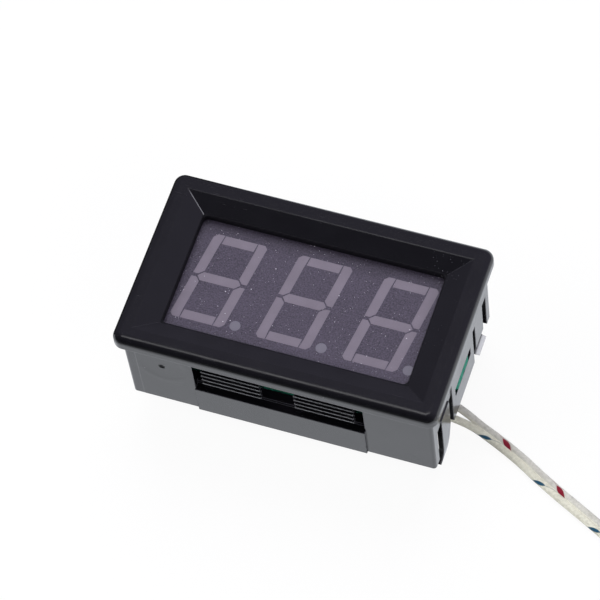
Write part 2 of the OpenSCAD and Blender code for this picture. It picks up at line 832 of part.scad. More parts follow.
module probe_sheath() {
    r = sheath_d / 2;
    color("#c4c6ca") at_probe() translate([0, 0, sleeve_l + fit]) rotate_extrude($fn = 48) {
        polygon([
            [0, 0], [r - 0.35, 0], [r, 0.4], [r, 2.2], [r - 0.3, 2.5], [r - 0.3, 3.1],
            [r, 3.4], [r, 5], [r - 0.3, 5.3], [r - 0.3, 5.9], [r, 6.2], [r, sheath_l - r], [0, sheath_l - r]
        ]);
        intersection() {
            translate([0, sheath_l - r]) circle(r);
            square([r + 1, sheath_l + 1]);
        }
    }
}

housing();
display_shell();
display_potting();
display_substrate();
display_pins();
main_board();
pin_joints();
lead_joints();
controller_chip();
controller_leads();
amplifier_chip();
amplifier_leads();
regulator();
regulator_leads();
input_diode();
diode_terminals();
capacitor_can();
capacitor_base();
chip_resistors();
chip_capacitors();
power_socket();
power_pins();
lead_conductors();
lead_run();
lead_coil();
lead_tail();
lead_tie();
probe_sheath();
probe_sleeve();
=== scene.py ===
import math
import bpy
import bmesh
from mathutils import Matrix, Vector


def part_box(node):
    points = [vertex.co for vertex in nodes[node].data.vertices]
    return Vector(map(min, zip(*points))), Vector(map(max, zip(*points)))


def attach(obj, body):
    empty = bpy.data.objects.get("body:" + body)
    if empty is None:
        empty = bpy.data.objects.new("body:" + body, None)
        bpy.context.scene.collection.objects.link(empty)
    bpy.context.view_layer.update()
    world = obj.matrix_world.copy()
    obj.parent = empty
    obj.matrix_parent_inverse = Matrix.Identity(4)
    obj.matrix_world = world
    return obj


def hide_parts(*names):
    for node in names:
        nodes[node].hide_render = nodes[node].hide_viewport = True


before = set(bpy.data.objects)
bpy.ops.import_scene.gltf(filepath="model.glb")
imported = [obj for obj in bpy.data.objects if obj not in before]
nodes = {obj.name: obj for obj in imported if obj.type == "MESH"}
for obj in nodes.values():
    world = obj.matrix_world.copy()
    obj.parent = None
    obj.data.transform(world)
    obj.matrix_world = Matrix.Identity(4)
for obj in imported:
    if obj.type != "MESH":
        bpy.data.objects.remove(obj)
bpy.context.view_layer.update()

mm = 0.001


# camera

cameraSpec = dict(
    place=(106.997, -213.305, 438.919),
    right=(0.94482, 0.31771, -0.07981),
    up=(-0.24085, 0.83887, 0.48815),
    lens=207.35,
    shift=(-0.0051, 0.0008),
)

def makeCamera(spec):
    right = Vector(spec["right"]).normalized()
    up = Vector(spec["up"])
    up = (up - right * up.dot(right)).normalized()
    back = right.cross(up)
    data = bpy.data.cameras.new("camera")
    data.lens = spec["lens"]
    data.sensor_width = 36
    data.shift_x, data.shift_y = spec["shift"]
    data.clip_start = 0.01
    data.clip_end = 20
    camera = bpy.data.objects.new("camera", data)
    bpy.context.scene.collection.objects.link(camera)
    turn = Matrix((right, up, back)).transposed().to_4x4()
    camera.matrix_world = Matrix.Translation(Vector(spec["place"]) * mm) @ turn
    bpy.context.scene.camera = camera

makeCamera(cameraSpec)
print("camera placed")


# materials

def newMaterial(name):
    material = bpy.data.materials.new(name)
    material.use_nodes = True
    tree = material.node_tree
    tree.nodes.clear()
    output = tree.nodes.new("ShaderNodeOutputMaterial")
    shader = tree.nodes.new("ShaderNodeBsdfPrincipled")
    tree.links.new(shader.outputs[0], output.inputs[0])
    return material, tree, shader

def node(tree, kind, **settings):
    made = tree.nodes.new("ShaderNode" + kind)
    for key, value in settings.items():
        if hasattr(made, key):
            setattr(made, key, value)
        else:
            made.inputs[key.replace("_", " ")].default_value = value
    return made

def objectPlace(tree):
    return node(tree, "TexCoord").outputs["Object"]

def noiseFrom(tree, place, scale, detail=2.0, rough=0.5):
    made = node(tree, "TexNoise")
    made.inputs["Scale"].default_value = scale
    made.inputs["Detail"].default_value = detail
    made.inputs["Roughness"].default_value = rough
    tree.links.new(place, made.inputs["Vector"])
    return made.outputs["Fac"]

def ramp(tree, value, stops):
    made = tree.nodes.new("ShaderNodeValToRGB")
    bar = made.color_ramp
    while len(bar.elements) < len(stops):
        bar.elements.new(0.5)
    for element, (at, tone) in zip(bar.elements, stops):
        element.position = at
        element.color = tone if len(tone) == 4 else (*tone, 1)
    tree.links.new(value, made.inputs[0])
    return made.outputs[0]

def grey(v):
    return (v, v, v)

def blendColours(tree, amount, first, second):
    made = node(tree, "Mix", data_type="RGBA")
    for source, index in ((amount, 0), (first, 6), (second, 7)):
        if isinstance(source, (int, float)):
            made.inputs[index].default_value = source
        elif isinstance(source, tuple):
            made.inputs[index].default_value = source if len(source) == 4 else (*source, 1)
        else:
            tree.links.new(source, made.inputs[index])
    return made.outputs[2]

def maths(tree, operation, first, second=0.5, third=None, clamp=False):
    made = node(tree, "Math", operation=operation, use_clamp=clamp)
    for index, source in enumerate((first, second, third)):
        if source is None:
            continue
        if isinstance(source, (int, float)):
            made.inputs[index].default_value = source
        else:
            tree.links.new(source, made.inputs[index])
    return made.outputs[0]

def dress(name, material):
    nodes[name].data.materials.clear()
    nodes[name].data.materials.append(material)
    for part in nodes[name].material_slots:
        part.material = material

def mapped(tree, place, scale=(1, 1, 1), turn=(0, 0, 0), shift=(0, 0, 0)):
    made = node(tree, "Mapping")
    made.inputs["Location"].default_value = shift
    made.inputs["Rotation"].default_value = [math.radians(v) for v in turn]
    made.inputs["Scale"].default_value = scale
    tree.links.new(place, made.inputs["Vector"])
    return made.outputs[0]

def between(tree, value, low, high, clamp=True):
    made = node(tree, "MapRange", clamp=clamp, interpolation_type="SMOOTHSTEP")
    made.inputs["From Min"].default_value = low
    made.inputs["From Max"].default_value = high
    tree.links.new(value, made.inputs["Value"])
    return made.outputs[0]

def parts(tree, place):
    made = node(tree, "SeparateXYZ")
    tree.links.new(place, made.inputs[0])
    return made.outputs

def specks(tree, place, perMetre, size, share):  # scattered grains, each of its own size
    cells = node(tree, "TexVoronoi", feature="F1", voronoi_dimensions="3D")
    cells.inputs["Scale"].default_value = perMetre
    tree.links.new(place, cells.inputs["Vector"])
    own = parts(tree, cells.outputs["Color"])
    reach = maths(tree, "MULTIPLY", maths(tree, "MULTIPLY_ADD", own[0], 0.7, 0.3), size * perMetre)
    there = maths(tree, "LESS_THAN", cells.outputs["Distance"], reach)
    return maths(tree, "MULTIPLY", there, maths(tree, "LESS_THAN", own[2], share))

def hairlines(tree, place, turn, length, width, share):  # fine scratches along one direction
    line = mapped(tree, place, (1 / length, 1 / width, 1 / width), turn)
    fine = noiseFrom(tree, line, 1.0, 1.0, 0.4)
    patch = noiseFrom(tree, place, 140.0, 1.0)
    drawn = between(tree, fine, 0.735, 0.765)
    return maths(tree, "MULTIPLY", drawn, between(tree, patch, 1 - share, 1.08 - share))

def edgeNearness(tree, radius):  # how near a sharp edge is, and the rounded normal that goes with it
    rounded = node(tree, "Bevel", samples=4)
    rounded.inputs["Radius"].default_value = radius
    flat = tree.nodes.new("ShaderNodeNewGeometry")
    likeness = node(tree, "VectorMath", operation="DOT_PRODUCT")
    tree.links.new(rounded.outputs[0], likeness.inputs[0])
    tree.links.new(flat.outputs["Normal"], likeness.inputs[1])
    return maths(tree, "SUBTRACT", 1.0, likeness.outputs["Value"]), rounded.outputs[0]

def heights(tree, *terms):  # adds (height, metres) pairs into one height in metres
    total = 0.0
    for value, metres in terms:
        total = maths(tree, "MULTIPLY_ADD", value, metres, total)
    return total

def relief(tree, shader, height, under=None):
    made = node(tree, "Bump")
    made.inputs["Strength"].default_value = 1.0
    made.inputs["Distance"].default_value = 1.0
    tree.links.new(height, made.inputs["Height"])
    if under is not None:
        tree.links.new(under, made.inputs["Normal"])
    tree.links.new(made.outputs[0], shader.inputs["Normal"])

def mottled(tree, place, colour, scale, spread, detail=3.0):
    value = noiseFrom(tree, place, scale, detail)
    return ramp(tree, value, [(0.3, tuple(c * (1 - spread) for c in colour)),
                              (0.7, tuple(c * (1 + spread) for c in colour))])

def steady(value, spread):  # two stops of a roughness that wanders
    return [(0.32, grey(value * (1 - spread))), (0.68, grey(value * (1 + spread)))]

def product(tree, first, *others):  # masks that all have to hold
    for other in others:
        first = maths(tree, "MULTIPLY", first, other)
    return first

def within(tree, value, reach):  # 1 where a value is nearer to zero than its reach
    return maths(tree, "LESS_THAN", maths(tree, "ABSOLUTE", value), reach)

def distance(tree, first, second):
    square = maths(tree, "MULTIPLY_ADD", first, first, maths(tree, "MULTIPLY", second, second))
    return maths(tree, "SQRT", square)

def solidBoxes(name):  # the box of each separate solid in a CAD node
    mesh = bmesh.new()
    mesh.from_mesh(nodes[name].data)
    bmesh.ops.remove_doubles(mesh, verts=mesh.verts, dist=1e-7)
    left = set(mesh.verts)
    boxes = []
    for start in mesh.verts:
        if start not in left:
            continue
        left.discard(start)
        queue, own = [start], []
        while queue:
            vert = queue.pop()
            own.append(vert.co.copy())
            for edge in vert.link_edges:
                other = edge.other_vert(vert)
                if other in left:
                    left.discard(other)
                    queue.append(other)
        boxes.append(tuple(Vector([pick(co[i] for co in own) for i in range(3)]) for pick in (min, max)))
    mesh.free()
    return sorted(boxes, key=lambda box: tuple(round(v, 6) for v in box[0]))


# the black ABS of the housing: glossy, faintly wavy, with scuffs, dust and a moulding mark

housingSpec = dict(
    colour=(0.003, 0.003, 0.004), ior=1.7, roughness=0.17,
    grain=5200.0, grainDepth=2.6e-7, wave=210.0, waveDepth=1.1e-5,
    dust=(0.22, 0.22, 0.25), caughtX=(14.5, 17.5, 19.4, 20.4), caughtY=(7.8, 8.8, 11.7),
    scuff=(0.035, 0.035, 0.04), edge=(0.085, 0.085, 0.10), edgeRadius=0.22,
    toothHighlight=(0.36, 0.37, 0.39), toothX=12.5, toothY=12.98, toothZ=(10.6, 18.5),
    rim=2.5, slope=(3.25, 2.75), mitreHighlight=(0.17, 0.17, 0.185), lipReach=(18.15, 9.22, 1.12), lipDull=0.6,
    hookReflection=(0.93, 0.95, 0.96), hookReflectionZ=(2.9, 3.1, 4.1, 4.3), hookReflectionIn=(1.45, 1.1),
    markPlace=(-17.2, 14.4), markRadius=0.58, markDepth=0.4, dish=4.6, seam=1.75,
)

def wallMarks(tree, place, spec):  # the gate mark in its shallow dish, and the parting step beyond it
    x, y, z = parts(tree, place)
    low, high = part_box("housing")
    markX, markZ = (v * mm for v in spec["markPlace"])
    radius, dish = spec["markRadius"] * mm, spec["dish"] * mm
    away = distance(tree, maths(tree, "SUBTRACT", x, markX), maths(tree, "SUBTRACT", z, markZ))
    onWall = product(tree, maths(tree, "GREATER_THAN", maths(tree, "ABSOLUTE", y), high[1] - 2.4 * mm),
                     maths(tree, "LESS_THAN", z, high[2] - 2.4 * mm))
    pit = product(tree, onWall, between(tree, away, radius, radius * 0.45))
    sunk = product(tree, between(tree, away, dish, 1.2 * mm), onWall)
    rim = product(tree, between(tree, away, 3.0 * mm, 3.7 * mm), between(tree, away, dish, 3.9 * mm), onWall)
    seam = low[0] + spec["seam"] * mm
    beyond = product(tree, onWall, between(tree, x, seam + 1.02 * mm, seam + 0.9 * mm))
    return pit, sunk, rim, beyond

def cornerChatter(tree, place):  # fine steps left by the tool along the corner posts
    x, y, z = parts(tree, place)
    low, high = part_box("housing")
    steps = node(tree, "TexWave", wave_type="BANDS", bands_direction="Z")
    steps.inputs["Scale"].default_value = 900.0
    steps.inputs["Distortion"].default_value = 1.5
    tree.links.new(place, steps.inputs["Vector"])
    corner = high[0] + high[1]
    outward = maths(tree, "ADD", maths(tree, "ABSOLUTE", y), x)
    return product(tree, steps.outputs["Fac"], between(tree, outward, corner - 3.6 * mm, corner - 2.6 * mm))

def paintedHookReflection(tree, place, spec, smudge):  # a painted reflection: near-white over a hook's ridge, standing in for the floor it catches
    x, y, z = parts(tree, place)
    start, full, fading, end = (v * mm for v in spec["hookReflectionZ"])
    inner, outer = (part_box("housing")[1][0] - v * mm for v in spec["hookReflectionIn"])
    return product(tree, between(tree, z, start, full), between(tree, z, end, fading),
                   maths(tree, "GREATER_THAN", y, 0.0),
                   between(tree, maths(tree, "ABSOLUTE", x), inner, outer), between(tree, smudge, 0.1, 0.35))

def windowLip(tree, place, spec):  # the wall of the window, down to the display
    x, y, z = parts(tree, place)
    reachX, reachY, lipTop = (v * mm for v in spec["lipReach"])
    return product(tree, within(tree, x, reachX), within(tree, y, reachY),
                   maths(tree, "LESS_THAN", z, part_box("display_shell")[1][2] + lipTop))

def paintedMitreHighlight(tree, place, spec):  # a painted highlight: a light line along the frame's upper left mitre
    x, y, z = parts(tree, place)
    low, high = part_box("housing")
    run, rise = (v * mm for v in spec["slope"])
    fromLeft = maths(tree, "DIVIDE", maths(tree, "SUBTRACT", x, low[0] + spec["rim"] * mm), run)
    fromTop = maths(tree, "DIVIDE", maths(tree, "SUBTRACT", high[1] - spec["rim"] * mm, y), rise)
    aside = maths(tree, "ABSOLUTE", maths(tree, "SUBTRACT", fromLeft, fromTop))
    return product(tree, between(tree, aside, 0.04, 0.015), between(tree, fromLeft, -0.02, 0.25),
                   maths(tree, "LESS_THAN", fromLeft, 0.99))

def tongueTeeth(tree, place, spec):
    x, y, z = parts(tree, place)
    toothLow, toothHigh = (v * mm for v in spec["toothZ"])
    return product(tree, maths(tree, "GREATER_THAN", maths(tree, "ABSOLUTE", y), spec["toothY"] * mm),
                   maths(tree, "GREATER_THAN", z, toothLow), maths(tree, "LESS_THAN", z, toothHigh),
                   within(tree, x, spec["toothX"] * mm))

def caughtDust(tree, place, spec):  # fine dust in the frame's upper right corner
    x, y, z = parts(tree, place)
    left, leftFull, rightFull, right = (v * mm for v in spec["caughtX"])
    bottom, bottomFull, top = (v * mm for v in spec["caughtY"])
    grains = maths(tree, "MAXIMUM", specks(tree, place, 1900.0, 0.00006, 0.9),
                   specks(tree, place, 3100.0, 0.00004, 0.9))
    return product(tree, between(tree, x, left, leftFull), between(tree, x, right, rightFull),
                   between(tree, y, bottom, bottomFull), maths(tree, "LESS_THAN", y, top), grains)

def housingMaterial(spec):
    material, tree, shader = newMaterial("black housing plastic")
    place = objectPlace(tree)
    shader.inputs["IOR"].default_value = spec["ior"]
    nearEdge, rounded = edgeNearness(tree, spec["edgeRadius"] * mm)
    grain = noiseFrom(tree, place, spec["grain"], 2.0)
    wave = noiseFrom(tree, place, spec["wave"], 2.0, 0.35)
    smudge = noiseFrom(tree, mapped(tree, place, (1, 1.6, 1), (0, 0, 24)), 260.0, 4.0, 0.6)
    scuffs = maths(tree, "MAXIMUM",
                   hairlines(tree, place, (0, 0, 34), 0.0042, 0.00013, 0.46),
                   hairlines(tree, place, (0, 9, -61), 0.0028, 0.00011, 0.42))
    dust = maths(tree, "MAXIMUM", specks(tree, place, 420.0, 0.00006, 0.5),
                 specks(tree, place, 260.0, 0.00009, 0.4))
    pit, sunk, rim, beyond = wallMarks(tree, place, spec)
    onLip = windowLip(tree, place, spec)
    # edges painted lighter: partly wear, partly painted highlight; none on the window's lip
    edgeWearAndHighlight = product(tree, between(tree, nearEdge, 0.03, 0.3), maths(tree, "SUBTRACT", 1.0, onLip))
    # painted highlight: light lines along the edges of the tongues' teeth
    paintedToothHighlight = product(tree, between(tree, nearEdge, 0.03, 0.2), tongueTeeth(tree, place, spec))

    colour = mottled(tree, place, spec["colour"], 300.0, 0.2)
    for amount, tone in (
            (maths(tree, "MULTIPLY", scuffs, 0.5), spec["scuff"]),
            (paintedHookReflection(tree, place, spec, smudge), spec["hookReflection"]),
            (edgeWearAndHighlight, spec["edge"]), (paintedMitreHighlight(tree, place, spec), spec["mitreHighlight"]),
            (paintedToothHighlight, spec["toothHighlight"]),
            (maths(tree, "MAXIMUM", dust, caughtDust(tree, place, spec)), spec["dust"]),
            (pit, (0.0, 0.0, 0.0))):
        colour = blendColours(tree, amount, colour, tone)
    tree.links.new(colour, shader.inputs["Base Color"])

    rough = ramp(tree, smudge, steady(spec["roughness"], 0.28))
    for amount, added in ((scuffs, 0.2), (pit, 0.7), (onLip, spec["lipDull"])):
        rough = maths(tree, "MULTIPLY_ADD", amount, added, rough)
    tree.links.new(rough, shader.inputs["Roughness"])
    relief(tree, shader, heights(
        tree, (grain, spec["grainDepth"]), (wave, spec["waveDepth"]), (scuffs, -1.5e-6), (dust, 1e-5),
        (pit, -spec["markDepth"] * mm), (sunk, -2.2e-5), (rim, 1.2e-5), (beyond, -3e-5),
        (cornerChatter(tree, place), 5e-6),
    ), rounded)
    return material


# the display: a printed smoky face with dust, and light segments that are not lit

displaySpec = dict(
    face=(0.056, 0.047, 0.072), faceSpread=0.55, faceGrain=4600.0, faceRoughness=0.42,
    segment=(0.166, 0.142, 0.184), point=(0.142, 0.134, 0.174), segmentRoughness=0.36,
    pointsAt=(-8.13, 4.57, 17.27), pointRow=-6.28, pointReach=(1.05, 0.95),
    shade=0.42, shadeReach=3.6, windowInset=0.4,
    dust=(0.72, 0.70, 0.76),
)

def displayFaceMaterial(spec):
    material, tree, shader = newMaterial("smoky display face")
    place = objectPlace(tree)
    grain = noiseFrom(tree, place, spec["faceGrain"], 3.0, 0.6)
    cloud = noiseFrom(tree, place, 170.0, 3.0)
    dust = maths(tree, "MAXIMUM", specks(tree, place, 2600.0, 0.00004, 0.7),
                 specks(tree, place, 900.0, 0.00007, 0.6))
    spread = spec["faceSpread"]
    colour = ramp(tree, grain, [(0.34, tuple(c * (1 - spread) for c in spec["face"])),
                                (0.66, tuple(c * (1 + spread) for c in spec["face"]))])
    colour = blendColours(tree, maths(tree, "MULTIPLY", between(tree, cloud, 0.3, 0.75), 0.22),
                          colour, tuple(c * 1.5 for c in spec["face"]))
    x, y, z = parts(tree, place)
    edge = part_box("display_shell")[1][1] - spec["windowInset"] * mm
    shaded = between(tree, y, edge - spec["shadeReach"] * mm, edge)  # the frame's lip keeps light off
    colour = blendColours(tree, maths(tree, "MULTIPLY", shaded, spec["shade"]), colour, (0.0, 0.0, 0.0))
    colour = blendColours(tree, dust, colour, spec["dust"])
    tree.links.new(colour, shader.inputs["Base Color"])
    tree.links.new(ramp(tree, grain, steady(spec["faceRoughness"], 0.15)), shader.inputs["Roughness"])
    relief(tree, shader, heights(tree, (grain, 2.2e-6), (dust, 1.2e-5)))
    return material

def segmentMaterial(spec):
    material, tree, shader = newMaterial("milky segment resin")
    place = objectPlace(tree)
    grain = noiseFrom(tree, place, 4200.0, 2.0)
    dust = specks(tree, place, 900.0, 0.000065, 0.4)
    colour = mottled(tree, place, spec["segment"], 380.0, 0.06)
    x, y, z = parts(tree, place)
    offY = maths(tree, "SUBTRACT", y, spec["pointRow"] * mm)
    for at in spec["pointsAt"]:  # the decimal points are greyer than the bars
        away = distance(tree, maths(tree, "SUBTRACT", x, at * mm), offY)
        colour = blendColours(tree, between(tree, away, *(v * mm for v in spec["pointReach"])), colour,
                              spec["point"])
    colour = blendColours(tree, maths(tree, "MULTIPLY", between(tree, grain, 0.35, 0.65), 0.14),
                          colour, tuple(c * 0.7 for c in spec["segment"]))
    colour = blendColours(tree, dust, colour, spec["dust"])
    tree.links.new(colour, shader.inputs["Base Color"])
    tree.links.new(ramp(tree, grain, steady(spec["segmentRoughness"], 0.12)), shader.inputs["Roughness"])
    relief(tree, shader, heights(tree, (grain, 8e-7), (dust, 1e-5)))
    return material


# the boards, with a woven glass core

laminateSpec = dict(colour=(0.50, 0.44, 0.27), weave=2300.0, roughness=0.45)
maskSpec = dict(colour=(0.004, 0.175, 0.082), core=(0.035, 0.28, 0.19), weave=2300.0, roughness=0.26)

def weave(tree, place, perMetre):
    bands = []
    for direction in ("X", "Y"):
        made = node(tree, "TexWave", wave_type="BANDS", bands_direction=direction)
        made.inputs["Scale"].default_value = perMetre / 6.4
        made.inputs["Distortion"].default_value = 0.4
        tree.links.new(place, made.inputs["Vector"])
        bands.append(made.outputs["Fac"])
    return maths(tree, "MAXIMUM", bands[0], bands[1])

def laminateMaterial(spec):
    material, tree, shader = newMaterial("bare glass laminate")
    place = objectPlace(tree)
    cloth = weave(tree, place, spec["weave"])
    colour = blendColours(tree, cloth, tuple(c * 0.84 for c in spec["colour"]), spec["colour"])
    blot = noiseFrom(tree, place, 420.0, 3.0)
    colour = blendColours(tree, maths(tree, "MULTIPLY", between(tree, blot, 0.45, 0.75), 0.3),
                          colour, tuple(c * 0.7 for c in spec["colour"]))
    tree.links.new(colour, shader.inputs["Base Color"])
    tree.links.new(ramp(tree, blot, steady(spec["roughness"], 0.2)), shader.inputs["Roughness"])
    relief(tree, shader, heights(tree, (cloth, 4e-6)))
    return material

def maskMaterial(spec):
    material, tree, shader = newMaterial("green solder mask")
    place = objectPlace(tree)
    cloth = weave(tree, place, spec["weave"])
    blot = noiseFrom(tree, place, 520.0, 3.0)
    colour = blendColours(tree, cloth, tuple(c * 0.85 for c in spec["colour"]), spec["colour"])
    lie = parts(tree, tree.nodes.new("ShaderNodeNewGeometry").outputs["Normal"])
    sawn = maths(tree, "LESS_THAN", maths(tree, "ABSOLUTE", lie[2]), 0.5)  # the rough cut edge
    colour = blendColours(tree, sawn, colour, mottled(tree, place, spec["core"], 1900.0, 0.25))
    colour = blendColours(tree, specks(tree, place, 700.0, 0.00008, 0.25), colour, (0.4, 0.45, 0.42))
    tree.links.new(colour, shader.inputs["Base Color"])
    rough = maths(tree, "MAXIMUM", ramp(tree, blot, steady(spec["roughness"], 0.25)), sawn)
    tree.links.new(rough, shader.inputs["Roughness"])
    relief(tree, shader, heights(tree, (cloth, 1.5e-6), (blot, 6e-6)))
    return material


# small parts: moulded epoxy, nylon, ceramic and the metals

def mouldedMaterial(name, colour, roughness, grain=3800.0, depth=3e-6, spread=0.12, fleck=None):
    material, tree, shader = newMaterial(name)
    place = objectPlace(tree)
    fine = noiseFrom(tree, place, grain, 2.0)
    broad = noiseFrom(tree, place, 420.0, 3.0)
    tone = mottled(tree, place, colour, 300.0, spread)
    if fleck:
        tone = blendColours(tree, specks(tree, place, 900.0, 0.00007, 0.35), tone, fleck)
    tree.links.new(tone, shader.inputs["Base Color"])
    tree.links.new(ramp(tree, broad, steady(roughness, 0.2)), shader.inputs["Roughness"])
    relief(tree, shader, heights(tree, (fine, depth), (broad, depth * 1.5)))
    return material

def metalFinish(name, colour, roughness, stretch=(1, 1, 1), turn=(0, 0, 0), grain=1900.0, dull=0.25,
                depth=1.5e-6):
    material, tree, shader = newMaterial(name)
    place = mapped(tree, objectPlace(tree), stretch, turn)
    fine = noiseFrom(tree, place, grain, 3.0)
    cloud = noiseFrom(tree, objectPlace(tree), 330.0, 4.0, 0.65)
    shader.inputs["Metallic"].default_value = 1.0
    tone = ramp(tree, fine, [(0.3, tuple(c * 0.9 for c in colour)), (0.7, colour)])
    tone = blendColours(tree, maths(tree, "MULTIPLY", between(tree, cloud, 0.4, 0.72), dull), tone,
                        tuple(c * 0.5 for c in colour))
    tree.links.new(tone, shader.inputs["Base Color"])
    rough = ramp(tree, fine, steady(roughness, 0.18))
    rough = maths(tree, "MULTIPLY_ADD", between(tree, cloud, 0.4, 0.72), 0.14, rough)
    tree.links.new(rough, shader.inputs["Roughness"])
    relief(tree, shader, heights(tree, (fine, depth), (cloud, depth * 3)))
    return material

canSpec = dict(metal=(0.74, 0.75, 0.77), marking=(0.012, 0.012, 0.016), markedShare=0.36,
               markedDepth=0.35, inkEdge=0.04)

def canMaterial(spec):  # the half-moon of black ink on its end shows the negative side
    material, tree, shader = newMaterial("aluminium can")
    place = objectPlace(tree)
    low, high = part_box("capacitor_can")
    x, y, z = parts(tree, place)
    fine = noiseFrom(tree, mapped(tree, place, (1, 1, 0.08)), 3600.0, 2.0)
    face = maths(tree, "LESS_THAN", z, low[2] + spec["markedDepth"] * mm)
    edge = low[0] + (high[0] - low[0]) * spec["markedShare"]
    soft = spec["inkEdge"] * mm
    inked = product(tree, face, between(tree, x, edge + soft, edge - soft))
    tone = ramp(tree, fine, [(0.3, tuple(c * 0.88 for c in spec["metal"])), (0.7, spec["metal"])])
    tree.links.new(blendColours(tree, inked, tone, spec["marking"]), shader.inputs["Base Color"])
    tree.links.new(maths(tree, "SUBTRACT", 1.0, inked), shader.inputs["Metallic"])
    rough = ramp(tree, fine, steady(0.24, 0.3))
    tree.links.new(maths(tree, "MULTIPLY_ADD", inked, 0.25, rough), shader.inputs["Roughness"])
    relief(tree, shader, heights(tree, (fine, 2e-6), (inked, 3e-6)))
    return material

print("materials ready")


# the lead

leadSpec = dict(
    length=0.5, width=2.2, core=1.12, spacing=0.92, sides=14, step=0.6,
    exit=(22.7, -3.0, 2.95), parted=0.60, partedRun=9.0, closingRun=6.8,
    coilCentre=(65.8, -7.8), coilRadius=13.0, startAngle=237.0, changeover=55.0,
    lowTurn=1.05, highTurn=2.2, sideways=2.24, knots=20,
)
leadRun = [
    (13, -4, 8.2), (13.6, -4, 7.2), (15.3, -3.8, 6), (18, -3.3, 4.6), (21, -2.9, 3.5),
    (24, -3.2, 2.5), (27, -3.95, 1.45), (30, -5, 0.8), (33, -6.4, 0.6), (36, -8.1, 0.6),
    (39, -9.7, 0.6), (42, -11.2, 0.6), (45, -12.7, 0.6), (48, -14.25, 0.6), (50.2, -15.45, 0.65),
    (53.6, -17.6, 0.85),
]
leadTail = [
    (61.6, -23.9, 2.35), (64.9, -25.5, 2.2), (67.4, -25.8, 1.75), (70.2, -25.7, 1.2), (73.1, -25, 0.8),
    (75.9, -23.8, 0.65), (78.6, -22.2, 0.65), (81.1, -20.2, 0.9), (83.3, -18, 1.45), (85.2, -15.6, 1.95),
    (86.5, -13.6, 2.2),
]

def coilPoints(spec):  # three turns side by side, then two on top of them
    middle, side = spec["coilRadius"], spec["sideways"]
    low, high = spec["lowTurn"], spec["highTurn"]
    stages = [(middle + side, low), (middle, low), (middle - side, low),
              (middle - side / 2, high), (middle + side / 2, high), (middle + side / 2, high)]
    turns = len(stages) - 1
    points = []
    for step in range(0, turns * spec["knots"] + 1):
        angle = step * 360.0 / spec["knots"]
        turn = min(int(angle // 360), turns - 1)
        late = max(0.0, (angle - turn * 360 - 360 + spec["changeover"]) / spec["changeover"])
        late = late * late * (3 - 2 * late)
        radius = stages[turn][0] * (1 - late) + stages[turn + 1][0] * late
        height = stages[turn][1] * (1 - late) + stages[turn + 1][1] * late
        turned = math.radians(spec["startAngle"] + angle)
        points.append((spec["coilCentre"][0] + radius * math.cos(turned),
                       spec["coilCentre"][1] + radius * math.sin(turned), height))
    return points

def smoothPath(points, step):
    knots = [Vector(p) for p in points]
    line = []
    for i in range(len(knots) - 1):
        a, b = knots[max(i - 1, 0)], knots[i]
        c, d = knots[i + 1], knots[min(i + 2, len(knots) - 1)]
        count = max(2, round((c - b).length / step))
        for k in range(count):
            t = k / count
            line.append(0.5 * ((2 * b) + (c - a) * t + (2 * a - 5 * b + 4 * c - d) * t * t
                               + (3 * b - a - 3 * c + d) * t * t * t))
    line.append(knots[-1])
    return line

def sweepCore(name, line, side, spec):
    radius = spec["core"] / 2
    mesh = bmesh.new()
    uv = mesh.loops.layers.uv.new("along")
    shift = 0 if side > 0 else 2  # one core is at 0, the other at 2
    rings, lengths = [], []
    run = 0.0
    for i, point in enumerate(line):
        ahead = (line[min(i + 1, len(line) - 1)] - line[max(i - 1, 0)]).normalized()
        flat = Vector((-ahead.y, ahead.x, 0))
        across = flat.normalized() if flat.length > 0.05 else Vector((0, 1, 0))
        upward = ahead.cross(across) * -1
        upward = across.cross(ahead) * -1 if upward.z < 0 else upward
        if i:
            run += (point - line[i - 1]).length
        parted = max(0.0, 1 - max(0.0, run - spec["partedRun"]) / spec["closingRun"])
        parted = parted * parted * (3 - 2 * parted)
        centre = point + across * (side * (spec["spacing"] / 2 + spec["parted"] * parted))
        ring = []
        for k in range(spec["sides"]):
            turned = 2 * math.pi * k / spec["sides"]
            ring.append(mesh.verts.new((centre + across * (radius * math.cos(turned))
                                        + upward * (radius * math.sin(turned))) * mm))
        rings.append(ring)
        lengths.append(run)
    for i in range(len(rings) - 1):
        for k in range(spec["sides"]):
            n = (k + 1) % spec["sides"]
            face = mesh.faces.new((rings[i][k], rings[i + 1][k], rings[i + 1][n], rings[i][n]))
            face.smooth = True
            ends = ((lengths[i], k), (lengths[i + 1], k), (lengths[i + 1], k + 1), (lengths[i], k + 1))
            for loop, (u, v) in zip(face.loops, ends):
                loop[uv].uv = (u, v / spec["sides"] + shift)
    mesh.faces.new(rings[0])
    mesh.faces.new(list(reversed(rings[-1])))
    bmesh.ops.recalc_face_normals(mesh, faces=mesh.faces)
    data = bpy.data.meshes.new(name)
    mesh.to_mesh(data)
    mesh.free()
    piece = bpy.data.objects.new(name, data)
    bpy.context.scene.collection.objects.link(piece)
    return piece

def addPiece(name, mesh, smooth=False):
    if smooth:
        for face in mesh.faces:
            face.smooth = True
    data = bpy.data.meshes.new(name)
    mesh.to_mesh(data)
    mesh.free()
    piece = bpy.data.objects.new(name, data)
    bpy.context.scene.collection.objects.link(piece)
    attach(piece, "root")
    return piece

def addBlock(mesh, centre, size, turn=None):  # a cube, set to size, then turned about its middle
    verts = bmesh.ops.create_cube(mesh, size=1.0)["verts"]
    bmesh.ops.scale(mesh, vec=size, verts=verts)
    if turn is not None:
        bmesh.ops.transform(mesh, matrix=turn, verts=verts)
    bmesh.ops.translate(mesh, vec=centre, verts=verts)
    return verts

def easeEdges(mesh, width, segments=2, edges=None):
    bmesh.ops.bevel(mesh, geom=edges or list(mesh.edges), offset=width, offset_type="OFFSET",
                    affect="EDGES", segments=segments, profile=0.5, material=-1)


